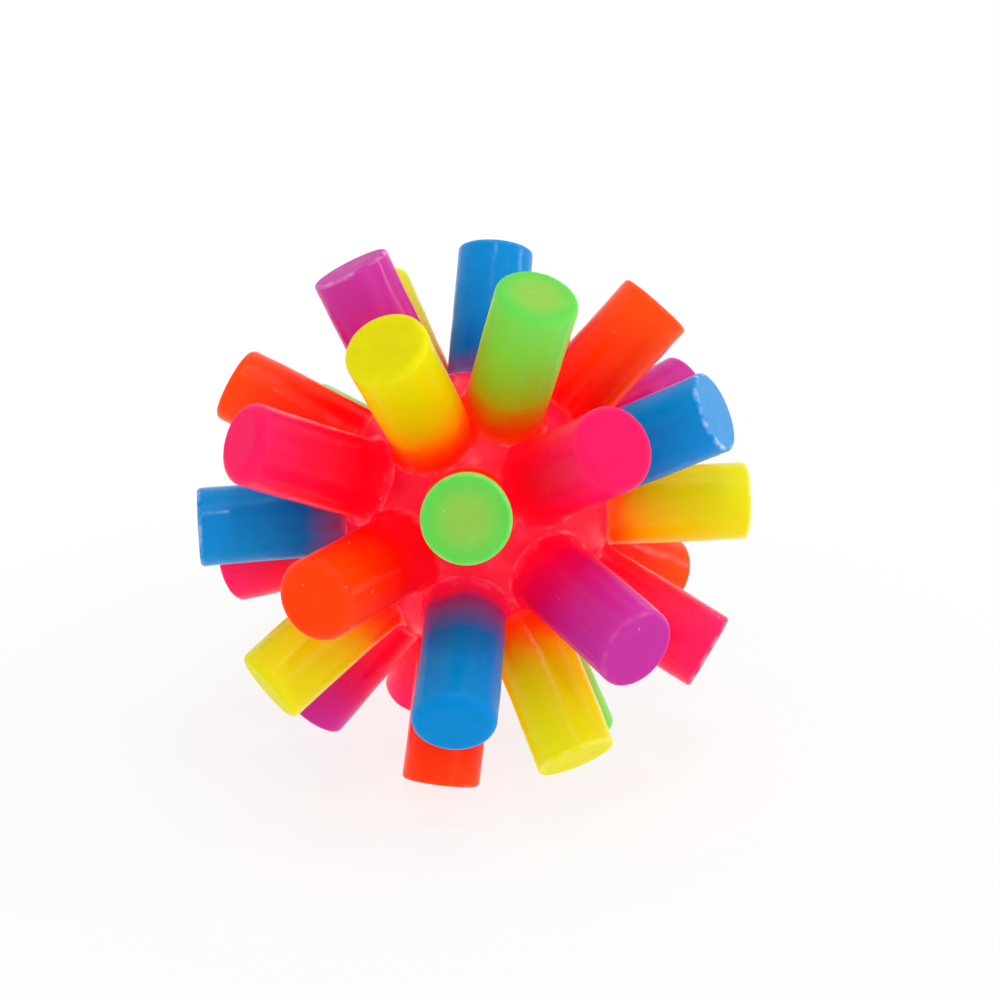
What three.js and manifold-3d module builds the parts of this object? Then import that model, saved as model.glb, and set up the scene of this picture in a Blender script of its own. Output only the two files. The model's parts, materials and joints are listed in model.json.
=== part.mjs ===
// Light-up bouncy ball: a soft rubber core with flat-ended rubber fingers, and a flashing light
// capsule in the pocket of the core. Millimetres, +Z up, origin at the centre of the ball.
// The ball stands on the ends of its three lowest fingers.
import * as THREE from 'three';
import { mergeVertices } from 'three/addons/utils/BufferGeometryUtils.js';
import Module from 'manifold-3d';

// Ball and fingers
const ballRadius = 37.5; // centre of the ball to the flat end of a finger
const coreWall = 5.9; // rubber between the pocket of the core and its skin
const fingerRadius = 5.2;
const fingerEndRound = 0.7;
const bendHeight = 2.8; // where a finger bends, above the skin of the core
const socketGap = 0.3; // between a finger root and its socket

// Loading plug, under one of the rear fingers
const plugRim = 0.9; // rubber left round the socket in the plug
const plugGap = 0.2;

// Light capsule
const capsuleWall = 1;
const capsuleClearance = 0.5; // between the capsule wall and what it holds
const pocketGap = 0.3; // between the capsule and the pocket of the core
const boardThickness = 1;
const boardLip = 0.3; // how far the board edge sits into the capsule wall
const seatGap = 0.1; // between faces that are pressed or soldered together

// Lights and chip on the board
const ledRadius = 1.5;
const ledFlange = 0.4; // the flange stands out from the lens by this
const ledFlangeHeight = 0.6;
const ledHeight = 4.2;
const ledCircle = 5; // board centre to a light
const chipRadius = 2.2;
const chipHeight = 1;

// Button cells and their contacts
const cellRadius = 3.95;
const cellHeight = 3.6;
const cellCapRadius = 3.1;
const cellCapHeight = 0.5;
const sleeveWall = 0.45;
const sleeveGap = 0.1;
const contactThickness = 0.25;
const contactWidth = 2;
const contactReach = 3; // length of a contact under its cell, from the cell axis
const upperContactRadius = 2.6;

// Shake switch
const switchFromSleeve = 1.5; // clear space between the cell sleeve and the coil
const coilRadius = 1.1; // to the middle of the wire
const coilWire = 0.2; // radius of the wire
const coilTurns = 5;
const coilPitch = 0.9;
const coilGap = 0.3; // room for the coil to swing under its collar
const postRadius = 0.4;
const postPastCoil = 0.4; // how far the post reaches past the coil
const collarBore = 0.7;
const collarRim = 0.3; // the collar stands out from the coil by this
const collarHeight = 0.5;

// Facets
const fingerSides = 14;
const rootRows = 3; // rows in the round root of a finger
const coreSides = 28;
const coreRows = 14;
const capsuleSides = 20;
const capsuleRows = 5; // rows from the rim of a capsule half to its pole
const smallSides = 12;
const domeRows = 3;
const coilSteps = 8; // steps in each turn of the coil
const wireSides = 5;
const mergeDistance = 1e-4;

// Where each finger stands, in degrees: tilt from straight up, then turn about the vertical from +X.
// One of them stands on the loading plug.
const fingerLayout = [
  ['purple', 26, -178.5],
  ['blue', 29, 80],
  ['green', 28, -64],
  ['orange', 42.5, 13.5],
  ['yellow', 40, -116.5],
  ['yellow', 46, 123],
  ['pink', 61, 73],
  ['blue', 62, -22],
  ['pink', 61.5, -58.5],
  ['orange', 63, 170.5],
  ['pink', 66, -148.5],
  ['purple', 70, 29],
  ['green', 71.5, -92],
  ['orange', 82, 99],
  ['green', 81, 132],
  ['yellow', 88, -1],
  ['orange', 90.5, -121],
  ['blue', 90, -171],
  ['green', 96, 58],
  ['purple', 100, -57],
  ['pink', 108, 166],
  ['purple', 113, 89, 'on plug'],
  ['orange', 115, 29.5],
  ['blue', 115, -93.5],
  ['pink', 115, -20.5],
  ['yellow', 119, -146.5],
  ['yellow', 120, 126],
  ['yellow', 132.5, -60.5],
  ['blue', 141, 59],
  ['purple', 141.5, -173],
  ['green', 155, -6],
  ['orange', 155, -106.5],
  ['pink', 155, 123.5],
];

// Colours
const rubberColours = {
  green: '#6fc948',
  yellow: '#e4d21c',
  orange: '#ff4a10',
  pink: '#ff2a5c',
  purple: '#c83a9c',
  blue: '#0a84c8',
};
const coreColour = '#f51c3a';

const wasm = await Module();
wasm.setup();
const ball = new THREE.Group();
const upright = new THREE.Vector3(0, 0, 1);

function finish(colour, roughness, metalness = 0) {
  return new THREE.MeshStandardMaterial({ color: colour, roughness, metalness });
}

function addPiece(name, geometry, material) {
  const mesh = new THREE.Mesh(geometry, material);
  mesh.name = name;
  ball.add(mesh);
  return mesh;
}

// A turned solid about +Z from [radius, height] points.
function turned(profile, sides) {
  const points = profile.map(([radius, height]) => new THREE.Vector2(radius, height));
  return new THREE.LatheGeometry(points, sides).rotateX(Math.PI / 2);
}

// Points of an arc about the axis, angles in degrees from straight out, positive upwards.
function arc(radius, fromAngle, toAngle, rows, height = 0) {
  return Array.from({ length: rows + 1 }, (_, row) => {
    const angle = THREE.MathUtils.degToRad(fromAngle + ((toAngle - fromAngle) * row) / rows);
    const onAxis = Math.abs(Math.cos(angle)) < mergeDistance;
    return [onAxis ? 0 : radius * Math.cos(angle), height + radius * Math.sin(angle)];
  });
}

function sphere(radius, sides, rows) {
  return turned(arc(radius, -90, 90, rows), sides);
}

function disc(radius, from, to, sides) {
  return turned([[0, from], [radius, from], [radius, to], [0, to]], sides);
}

// Geometry to a closed solid for joining and cutting, and back.
function solidOf(geometry) {
  const bare = geometry.clone();
  bare.deleteAttribute('normal');
  bare.deleteAttribute('uv');
  const merged = mergeVertices(bare, mergeDistance);
  return new wasm.Manifold(
    new wasm.Mesh({
      numProp: 3,
      vertProperties: merged.attributes.position.array,
      triVerts: new Uint32Array(merged.index.array),
    }),
  );
}

function geometryOf(solid) {
  const mesh = solid.getMesh();
  const positions = new THREE.BufferAttribute(new Float32Array(mesh.vertProperties), 3);
  const triangles = new THREE.BufferAttribute(new Uint32Array(mesh.triVerts), 1);
  return new THREE.BufferGeometry().setAttribute('position', positions).setIndex(triangles);
}

// Unit direction of a finger from its tilt and turn.
function direction(tilt, turn) {
  const polar = THREE.MathUtils.degToRad(tilt);
  const around = THREE.MathUtils.degToRad(turn);
  return new THREE.Vector3(
    Math.sin(polar) * Math.cos(around),
    Math.sin(polar) * Math.sin(around),
    Math.cos(polar),
  );
}

// Turns a shape that points up to stand along a direction, at a distance from the ball's centre.
function standing(along, distance) {
  const lean = new THREE.Quaternion().setFromUnitVectors(upright, along);
  return new THREE.Matrix4().compose(
    along.clone().multiplyScalar(distance),
    lean,
    new THREE.Vector3(1, 1, 1),
  );
}

// Light capsule: its size follows what it holds
const boardTop = -seatGap;
const boardUnder = boardTop - boardThickness;
const cellsTop = boardUnder - 2 * seatGap - contactThickness;
const cellsBottom = cellsTop - 2 * cellHeight - seatGap;
const contactTop = cellsBottom - seatGap;
const contactBottom = contactTop - contactThickness;
const sleeveInner = (cellRadius + sleeveGap) / Math.cos(Math.PI / smallSides);
const sleeveOuter = sleeveInner + sleeveWall;
const legInside = sleeveOuter + seatGap;
const legOutside = legInside + contactThickness;
const switchCentre = -(sleeveOuter + switchFromSleeve + coilRadius + coilWire);
const collarBottom = boardUnder - seatGap - collarHeight;
const coilTop = collarBottom - coilGap - coilWire;
const coilBottom = coilTop - coilTurns * coilPitch;
const postBottom = coilBottom - coilWire - postPastCoil;

const contactCorner = Math.hypot(legOutside, contactWidth / 2, contactBottom);
const switchCorner = Math.hypot(switchCentre - coilRadius - coilWire, coilBottom - coilWire);
const postCorner = Math.hypot(switchCentre - postRadius, postBottom);
const ledCorner = Math.hypot(ledCircle + ledRadius, boardTop + seatGap + ledHeight);
const farthestCorner = Math.max(contactCorner, switchCorner, postCorner, ledCorner);
const capsuleInner = farthestCorner + capsuleClearance;
const capsuleRadius = capsuleInner + capsuleWall;
const boardRadius = capsuleInner + boardLip;
const pocketRadius = (capsuleRadius + pocketGap) / Math.cos(Math.PI / capsuleSides);

// Fingers: a round root about the bending point, a straight side and a flat end
const coreRadius = pocketRadius + coreWall;
const pivotRadius = coreRadius + bendHeight;
const fingerReach = ballRadius - pivotRadius;
const socketRadius = (fingerRadius + socketGap) / Math.cos(Math.PI / fingerSides);

function makeFingers() {
  const profile = [
    ...arc(fingerRadius, -90, 0, rootRows),
    [fingerRadius, fingerReach - fingerEndRound],
    [fingerRadius - fingerEndRound, fingerReach],
    [0, fingerReach],
  ];
  fingerLayout.forEach(([colour, tilt, turn], index) => {
    const number = String(index + 1).padStart(2, '0');
    const rubber = finish(rubberColours[colour], 0.35);
    const finger = addPiece(`finger_${number}_${colour}`, turned(profile, fingerSides), rubber);
    finger.applyMatrix4(standing(direction(tilt, turn), pivotRadius));
  });
}

function makeCapsule() {
  const clear = finish('#e9eef2', 0.1);
  addPiece(
    'capsule_upper',
    turned(
      [...arc(capsuleInner, 90, 0, capsuleRows), ...arc(capsuleRadius, 0, 90, capsuleRows)],
      capsuleSides,
    ),
    clear,
  );
  const seat = boardUnder - seatGap;
  const seatAngle = THREE.MathUtils.radToDeg(Math.asin(seat / capsuleInner));
  addPiece(
    'capsule_lower',
    turned(
      [
        ...arc(capsuleRadius, -90, 0, capsuleRows),
        [boardRadius + seatGap, 0],
        [boardRadius + seatGap, seat],
        ...arc(capsuleInner, seatAngle, -90, capsuleRows),
      ],
      capsuleSides,
    ),
    clear.clone(),
  );
}

function makeBoard() {
  addPiece(
    'circuit_board',
    disc(boardRadius, boardUnder, boardTop, capsuleSides),
    finish('#1f6b3a', 0.5),
  );
  const ledBase = boardTop + seatGap;
  const flangeRadius = ledRadius + ledFlange;
  const lens = [
    [0, ledBase],
    [flangeRadius, ledBase],
    [flangeRadius, ledBase + ledFlangeHeight],
    [ledRadius, ledBase + ledFlangeHeight],
    ...arc(ledRadius, 0, 90, domeRows, ledBase + ledHeight - ledRadius),
  ];
  ['red', 'green', 'blue'].forEach((colour, index, colours) => {
    const around = (index / colours.length) * 2 * Math.PI;
    const led = addPiece(`led_${colour}`, turned(lens, smallSides), finish(colour, 0.15));
    led.position.set(ledCircle * Math.cos(around), ledCircle * Math.sin(around), 0);
  });
  const chipRadiusOfCurve = (chipRadius ** 2 + chipHeight ** 2) / (2 * chipHeight);
  const chipEdge = THREE.MathUtils.radToDeg(Math.acos(chipRadius / chipRadiusOfCurve));
  const chipCentre = ledBase + chipHeight - chipRadiusOfCurve;
  addPiece(
    'driver_chip',
    turned(
      [[0, ledBase], ...arc(chipRadiusOfCurve, chipEdge, 90, domeRows, chipCentre)],
      smallSides,
    ),
    finish('#141416', 0.4),
  );
}

function makeCells() {
  const steel = finish('#c9ccd0', 0.3, 1);
  const cell = [
    [0, 0],
    [cellCapRadius, 0],
    [cellCapRadius, cellCapHeight],
    [cellRadius, cellCapHeight],
    [cellRadius, cellHeight],
    [0, cellHeight],
  ];
  const lowerBase = cellsBottom;
  const upperBase = cellsBottom + cellHeight + seatGap;
  addPiece('cell_lower', turned(cell, smallSides), steel).position.z = lowerBase;
  addPiece('cell_upper', turned(cell, smallSides), steel.clone()).position.z = upperBase;
  addPiece(
    'cell_sleeve',
    turned(
      [
        [sleeveInner, cellsBottom],
        [sleeveOuter, cellsBottom],
        [sleeveOuter, cellsTop],
        [sleeveInner, cellsTop],
        [sleeveInner, cellsBottom],
      ],
      smallSides,
    ),
    finish('#e8e6df', 0.4),
  );
  addPiece(
    'contact_upper',
    disc(upperContactRadius, cellsTop + seatGap, boardUnder - seatGap, smallSides),
    finish('#d8c27a', 0.35, 1),
  );
  const strip = new THREE.Shape()
    .moveTo(-contactReach, contactBottom)
    .lineTo(legOutside, contactBottom)
    .lineTo(legOutside, boardUnder - seatGap)
    .lineTo(legInside, boardUnder - seatGap)
    .lineTo(legInside, contactTop)
    .lineTo(-contactReach, contactTop)
    .closePath();
  const stripGeometry = new THREE.ExtrudeGeometry(strip, { depth: contactWidth, bevelEnabled: false })
    .rotateX(Math.PI / 2)
    .translate(0, contactWidth / 2, 0);
  addPiece('contact_lower', stripGeometry, finish('#d8c27a', 0.35, 1));
}

// Shake switch: a springy coil that swings against the post inside it
class CoilPath extends THREE.Curve {
  getPoint(share, target = new THREE.Vector3()) {
    const around = share * coilTurns * 2 * Math.PI;
    return target.set(
      switchCentre + coilRadius * Math.cos(around),
      coilRadius * Math.sin(around),
      coilTop - share * coilTurns * coilPitch,
    );
  }
}

function makeSwitch() {
  const brass = finish('#c9a24b', 0.35, 1);
  const path = new CoilPath();
  const section = new THREE.Shape(
    Array.from({ length: wireSides }, (_, side) => {
      const around = (side / wireSides) * 2 * Math.PI;
      return new THREE.Vector2(coilWire * Math.cos(around), coilWire * Math.sin(around));
    }),
  );
  const steps = coilTurns * coilSteps;
  addPiece(
    'switch_spring',
    new THREE.ExtrudeGeometry(section, { steps, extrudePath: path, bevelEnabled: false }),
    finish('#d5d7da', 0.25, 1),
  );
  const points = path.getPoints(steps);
  let leastGap = Infinity;
  points.forEach((point, index) => {
    points.slice(index + coilSteps / 2).forEach((other) => {
      leastGap = Math.min(leastGap, point.distanceTo(other) - 2 * coilWire);
    });
  });
  console.log(`switch_spring least gap to itself ${leastGap.toFixed(2)} mm`);

  const collarRadius = coilRadius + coilWire + collarRim;
  const collarTop = boardUnder - seatGap;
  addPiece(
    'switch_collar',
    turned(
      [
        [collarBore, collarBottom],
        [collarRadius, collarBottom],
        [collarRadius, collarTop],
        [collarBore, collarTop],
        [collarBore, collarBottom],
      ],
      smallSides,
    ),
    brass,
  ).position.x = switchCentre;
  addPiece('switch_post', disc(postRadius, postBottom, collarTop, smallSides), brass.clone())
    .position.x = switchCentre;
}

// Core: a rubber ball with a pocket, a socket for each finger and a hole for the loading plug
function makeCore() {
  const skin = solidOf(sphere(coreRadius, coreSides, coreRows));
  const socket = sphere(socketRadius, fingerSides, 2 * rootRows);
  const sockets = fingerLayout.map(([, tilt, turn]) =>
    solidOf(socket.clone().applyMatrix4(standing(direction(tilt, turn), pivotRadius))),
  );
  const [, plugTilt, plugTurn] = fingerLayout.find((row) => row.includes('on plug'));
  const plugAlong = direction(plugTilt, plugTurn);
  const rimHeight = (coreRadius ** 2 + pivotRadius ** 2 - socketRadius ** 2) / (2 * pivotRadius);
  const plugRadius = Math.sqrt(coreRadius ** 2 - rimHeight ** 2) + plugRim;
  const plugFoot = pocketRadius + plugGap;
  const cylinder = (radius, from) =>
    solidOf(
      disc(radius, from, ballRadius, fingerSides).applyMatrix4(standing(plugAlong, 0)),
    );
  const hole = cylinder(plugRadius + plugGap, 0);
  const pocket = solidOf(sphere(pocketRadius, capsuleSides, 2 * capsuleRows));
  const drilled = sockets.reduce((rest, cut) => rest.subtract(cut), skin);
  const shell = drilled.subtract(pocket).subtract(hole);
  const plug = drilled.intersect(cylinder(plugRadius, plugFoot));
  const rubber = finish(coreColour, 0.35);
  addPiece('core_shell', geometryOf(shell), rubber);
  addPiece('loading_plug', geometryOf(plug), rubber.clone());
}

makeCore();
makeFingers();
makeCapsule();
makeBoard();
makeCells();
makeSwitch();

export default ball;
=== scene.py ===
import bmesh
import bpy
import json
import math
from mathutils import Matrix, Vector


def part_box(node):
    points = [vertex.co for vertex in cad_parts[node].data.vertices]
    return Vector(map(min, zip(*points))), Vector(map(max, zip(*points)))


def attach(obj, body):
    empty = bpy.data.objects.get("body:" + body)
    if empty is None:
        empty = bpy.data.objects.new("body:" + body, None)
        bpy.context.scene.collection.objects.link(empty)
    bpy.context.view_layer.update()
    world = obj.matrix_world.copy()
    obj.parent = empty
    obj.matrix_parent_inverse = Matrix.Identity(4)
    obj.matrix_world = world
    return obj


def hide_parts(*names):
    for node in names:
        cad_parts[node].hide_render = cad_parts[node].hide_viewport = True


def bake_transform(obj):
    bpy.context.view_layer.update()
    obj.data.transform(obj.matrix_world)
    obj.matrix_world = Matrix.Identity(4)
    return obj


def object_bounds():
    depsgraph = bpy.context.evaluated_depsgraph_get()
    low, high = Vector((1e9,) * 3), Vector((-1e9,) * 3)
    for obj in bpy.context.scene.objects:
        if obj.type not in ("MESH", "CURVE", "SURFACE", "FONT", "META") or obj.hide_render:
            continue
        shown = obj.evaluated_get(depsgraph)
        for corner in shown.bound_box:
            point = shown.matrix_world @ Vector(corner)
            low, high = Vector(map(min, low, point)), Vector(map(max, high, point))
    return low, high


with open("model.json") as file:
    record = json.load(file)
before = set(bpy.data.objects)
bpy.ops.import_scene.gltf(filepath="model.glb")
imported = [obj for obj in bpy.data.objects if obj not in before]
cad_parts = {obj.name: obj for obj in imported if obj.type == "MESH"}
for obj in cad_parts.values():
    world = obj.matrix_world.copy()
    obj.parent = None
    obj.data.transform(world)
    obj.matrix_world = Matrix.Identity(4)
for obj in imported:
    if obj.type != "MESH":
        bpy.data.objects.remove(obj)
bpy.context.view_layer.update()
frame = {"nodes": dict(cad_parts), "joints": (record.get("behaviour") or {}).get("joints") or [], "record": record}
scene = bpy.context.scene
scene.view_settings.view_transform = "Standard"
mm = 0.001
record = frame["record"]
joints = {joint["child"]: joint for joint in frame["joints"]}
bodyOf = {node: body for body, nodes in record["behaviour"]["bodies"].items() for node in nodes}
slotOf = {part["node"]: part["material_slot"] for part in record["subparts"]}


def linear(hexColour):  # sRGB hex to the linear colour that the shaders use
    parts = [int(hexColour[i:i + 2], 16) / 255 for i in (1, 3, 5)]
    return (*[c / 12.92 if c <= 0.04045 else ((c + 0.055) / 1.055) ** 2.4 for c in parts], 1.0)


def addNode(tree, kind, inputs=None, stops=(), **settings):  # a node, its settings, what feeds it
    node = tree.nodes.new(kind)
    for spot, (place, colour) in enumerate(stops):
        elements = node.color_ramp.elements
        stop = elements[spot] if spot < 2 else elements.new(1.0)
        stop.position, stop.color = place, linear(colour)
    for name, value in settings.items():
        setattr(node, name, value)
    for name, value in (inputs or {}).items():
        if isinstance(value, bpy.types.Node):
            value = value.outputs[0]
        if isinstance(value, bpy.types.NodeSocket):
            tree.links.new(value, node.inputs[name])
        else:
            node.inputs[name].default_value = value
    return node


def newMaterial(name):
    material = bpy.data.materials.new(name)
    material.use_nodes = True
    tree = material.node_tree
    tree.nodes.clear()
    shader = addNode(tree, "ShaderNodeBsdfPrincipled")
    addNode(tree, "ShaderNodeOutputMaterial", {"Surface": shader})
    return material, tree, shader


def newTree(name, sockets):  # a geometry tree with its named inputs
    tree = bpy.data.node_groups.new(name, "GeometryNodeTree")
    tree.is_modifier = True
    tree.interface.new_socket("Geometry", in_out="OUTPUT", socket_type="NodeSocketGeometry")
    for kind, labels in sockets.items():
        for label in labels:
            tree.interface.new_socket(label, in_out="INPUT", socket_type="NodeSocket" + kind)
    return tree, addNode(tree, "NodeGroupInput").outputs


def closeTree(tree, geometry, size):  # every tree ends as a plain mesh with its material
    real = addNode(tree, "GeometryNodeRealizeInstances", {"Geometry": geometry})
    smooth = addNode(tree, "GeometryNodeSetShadeSmooth", {"Geometry": real})
    coated = addNode(tree, "GeometryNodeSetMaterial",
                     {"Geometry": smooth, "Material": size["Material"]})
    addNode(tree, "NodeGroupOutput", {"Geometry": coated})
    return tree


def pieceFromTree(name, tree, values):  # runs the tree once and keeps the result as a plain mesh
    piece = bpy.data.objects.new(name, bpy.data.meshes.new(name))
    scene.collection.objects.link(piece)
    maker = piece.modifiers.new("maker", "NODES")
    maker.node_group = tree
    for item in tree.interface.items_tree:
        if item.in_out == "INPUT":
            maker[item.identifier] = values[item.name]
    graph = bpy.context.evaluated_depsgraph_get()
    mesh = bpy.data.meshes.new_from_object(
        piece.evaluated_get(graph), preserve_all_data_layers=True, depsgraph=graph)
    piece.modifiers.remove(maker)
    piece.data = mesh
    mesh.name = name
    return piece


roundSteps = 4
sharpAngle = math.radians(35)


def turnedPiece(name, profile, material, rounds=None, centre=(0, 0), lean=None, ring=False,
                sides=48):
    # a turned solid about the vertical through centre, its listed corners rounded
    path = []
    for spot, here in enumerate(profile):
        size = (rounds or {}).get(spot, 0)
        if not size:
            path.append(here)
            continue
        here = Vector(here)
        before, after = [here + size * (Vector(to) - here).normalized()
                         for to in (profile[spot - 1], profile[(spot + 1) % len(profile)])]
        for step in range(roundSteps + 1):
            share = step / roundSteps
            path.append(before * (1 - share) ** 2 + here * 2 * share * (1 - share)
                        + after * share ** 2)
    shape = bmesh.new()
    rows = []
    for out, up in path:
        if out < 1e-7:
            rows.append([shape.verts.new((0, 0, up))] * sides)
            continue
        turns = [2 * math.pi * side / sides for side in range(sides)]
        rows.append([shape.verts.new((out * math.cos(turn), out * math.sin(turn), up))
                     for turn in turns])
    for lower, upper in zip(rows, rows[1:] + (rows[:1] if ring else [])):
        for side in range(sides):
            beside = (side + 1) % sides
            corners = [lower[side], lower[beside], upper[beside], upper[side]]
            shape.faces.new(list(dict.fromkeys(corners)))
    bmesh.ops.recalc_face_normals(shape, faces=shape.faces)
    if lean:
        bmesh.ops.rotate(shape, matrix=lean.to_matrix(), verts=shape.verts)
    bmesh.ops.translate(shape, vec=(*centre, 0), verts=shape.verts)
    mesh = bpy.data.meshes.new(name)
    shape.to_mesh(mesh)
    shape.free()
    mesh.shade_smooth()
    mesh.set_sharp_from_angle(angle=sharpAngle)
    mesh.materials.append(material)
    piece = bpy.data.objects.new(name, mesh)
    scene.collection.objects.link(piece)
    return piece


def arcPoints(radius, start, end, rows, height=0.0):
    angles = [math.radians(start + (end - start) * row / rows) for row in range(rows + 1)]
    return [(radius * math.cos(angle), height + radius * math.sin(angle)) for angle in angles]


def standsFor(piece, node):  # rides where the node rides, and takes its place
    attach(piece, bodyOf[node])
    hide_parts(node)


# Camera: the photo looks down on the standing ball by twenty degrees
view = {"elevation": 20.0, "distance": 210 * mm, "lens": 54.6, "sensor": 36.0,
        "shift": (0.0263, 0.0098), "clipStart": 1 * mm}


def makeCamera():
    camera = bpy.data.objects.new("photoCamera", bpy.data.cameras.new("photoCamera"))
    scene.collection.objects.link(camera)
    up = math.radians(view["elevation"])
    camera.location = view["distance"] * Vector((0, -math.cos(up), math.sin(up)))
    camera.rotation_euler = (math.radians(90) - up, 0, 0)
    camera.data.lens = view["lens"]
    camera.data.sensor_width = view["sensor"]
    camera.data.clip_start = view["clipStart"]
    camera.data.shift_x, camera.data.shift_y = view["shift"]
    scene.camera = camera


# Moulded thermoplastic rubber with daylight-fluorescent pigment: flat colour lifted by a painted glow,
# light that soaks in a few millimetres, and a smooth skin with thin sharp lines of gloss
rubber = {
    "ior": 1.5,
    "roughness": 0.22,
    "endRoughness": 0.44,       # the finger ends are duller than the sides
    "shine": 0.12,
    "endShine": 0.04,
    "soak": 0.6,                # share of the light that travels inside
    "soakDepth": 2.5 * mm,
    "soakColours": (1.0, 0.6, 0.5),
    # painted glow: the rubber emits its own colour, standing in for fluorescence and lifting its shaded sides
    "paintedGlow": 0.25,
    "grain": 0.4 * mm,
    "grainStrength": 0.08,
    "grainDepth": 0.1 * mm,
    "ripple": 3.5 * mm,         # slow unevenness of a soft casting
    "rippleStrength": 0.35,
    "rippleDepth": 0.5 * mm,
    "rippleGloss": (-0.05, 0.07),
    "fadePatch": 11 * mm,       # how far the red reaches up differs from place to place
    "fadePatchAmount": 0.06,
    "fadeEdge": 2.5 * mm,
    "fadeEdgeAmount": 0.05,
    "streak": 1.9 * mm,         # faint flow lines from root to end
    "streakStretch": 0.12,
    "streakRange": (0.5, 0.75),
    "streakShade": 0.03,
    "paintedEndShade": 0.1,            # painted shade: how much darker the end faces are painted than the sides
    "mottle": 1.8 * mm,
    "mottleShades": (0.7, 1.3),
    "middleRange": (0.05, 0.75),
    "warmColour": "#ff4a30",
    "refractionRingShare": 0.5,
    "flashGrain": 1.7 * mm,     # pale broken line round an end: moulding flash, partly a painted sheen on the rim
    "flashRange": (0.42, 0.68),
    "flashSheenAndDustColour": "#fbf6f0",
    # painted reflection: the most ragged end faces are painted pale, as the bright surround shows at a grazing
    # view
    "paleEndReflectionFrom": 0.45,
    "paleEndReflection": 0.06,
    # painted highlight: a pale line along the crease where each finger meets the core
    "rootHighlightColour": "#ff5c78",
    "dustSpacing": 4.5 * mm,
    "dustSize": 0.045,          # share of the spacing
    "dustShare": 0.4,
    "cloud": 5 * mm,            # slow change of colour on the core
    "cloudGloss": (-0.04, 0.06),
}
black = (0, 0, 0, 1)
noiseLow, noiseHigh = 0.3, 0.7  # where nearly all of a noise texture's values lie
# Colours from the root, 0, to the end, 1: the coloured rubber runs into the red of the core
fingerColours = {
    "green": [(0.0, "#ee2410"), (0.1, "#d84604"), (0.2, "#c87204"), (0.3, "#aaa40e"),
              (0.42, "#94b824"), (0.7, "#7ed042"), (1.0, "#78d456")],
    "yellow": [(0.0, "#fa1c0c"), (0.1, "#fa4004"), (0.2, "#f66402"), (0.3, "#ea9c02"),
               (0.45, "#e2ba02"), (0.7, "#e0cc02"), (1.0, "#ded80a")],
    "orange": [(0.0, "#f4081c"), (0.2, "#fc0802"), (0.45, "#fe2200"), (0.75, "#fe3a02"),
               (1.0, "#fe4a06")],
    "pink": [(0.0, "#f60c30"), (0.15, "#fc021e"), (0.4, "#fc082e"), (0.7, "#fc124a"),
             (1.0, "#fc1a62")],
    "purple": [(0.0, "#f00834"), (0.15, "#e20244"), (0.35, "#d20a60"), (0.55, "#c81c80"),
               (0.8, "#c02892"), (1.0, "#c0309a")],
    "blue": [(0.0, "#e81440"), (0.08, "#942a66"), (0.18, "#704684"), (0.28, "#4a5496"),
             (0.36, "#0064ac"), (0.6, "#0079c0"), (1.0, "#0087ce")],
}
# red of the core that shows through the middle of an end, and round it a painted ring of refracted light, deeper
# in colour
endWarmth = {"green": 0.12, "yellow": 0.05}
endRefractionRings = {"green": "#46c64c"}
coreColours = [(0.35, "#ee0c34"), (0.5, "#f61434"), (0.65, "#fa2446")]


def rubberSkin(tree, shader, colour, roughness):
    place = addNode(tree, "ShaderNodeTexCoord").outputs["Object"]
    grain = addNode(tree, "ShaderNodeTexNoise",
                    {"Vector": place, "Scale": 1 / rubber["grain"], "Detail": 3.0})
    ripple = addNode(tree, "ShaderNodeTexNoise",
                     {"Vector": place, "Scale": 1 / rubber["ripple"], "Detail": 2.0})
    fine = addNode(tree, "ShaderNodeBump",
                   {"Height": grain, "Strength": rubber["grainStrength"],
                    "Distance": rubber["grainDepth"]})
    slow = addNode(tree, "ShaderNodeBump",
                   {"Height": ripple, "Strength": rubber["rippleStrength"],
                    "Distance": rubber["rippleDepth"], "Normal": fine})
    patch = addNode(tree, "ShaderNodeMapRange",
                    {"Value": ripple, "From Min": noiseLow, "From Max": noiseHigh,
                     "To Min": rubber["rippleGloss"][0], "To Max": rubber["rippleGloss"][1]})
    gloss = addNode(tree, "ShaderNodeMath", {0: roughness, 1: patch}, operation="ADD")
    # the emitted colour is a painted glow that lifts the shade on fingers and core
    links = {"Base Color": colour, "Emission Color": colour,
             "Roughness": gloss.outputs[0], "Normal": slow.outputs[0]}
    for socket, source in links.items():
        tree.links.new(source, shader.inputs[socket])
    shader.inputs["IOR"].default_value = rubber["ior"]
    shader.inputs["Specular IOR Level"].default_value = rubber["shine"]
    shader.inputs["Subsurface Weight"].default_value = rubber["soak"]
    shader.inputs["Subsurface Radius"].default_value = rubber["soakColours"]
    shader.inputs["Subsurface Scale"].default_value = rubber["soakDepth"]
    shader.inputs["Emission Strength"].default_value = rubber["paintedGlow"]


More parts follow.
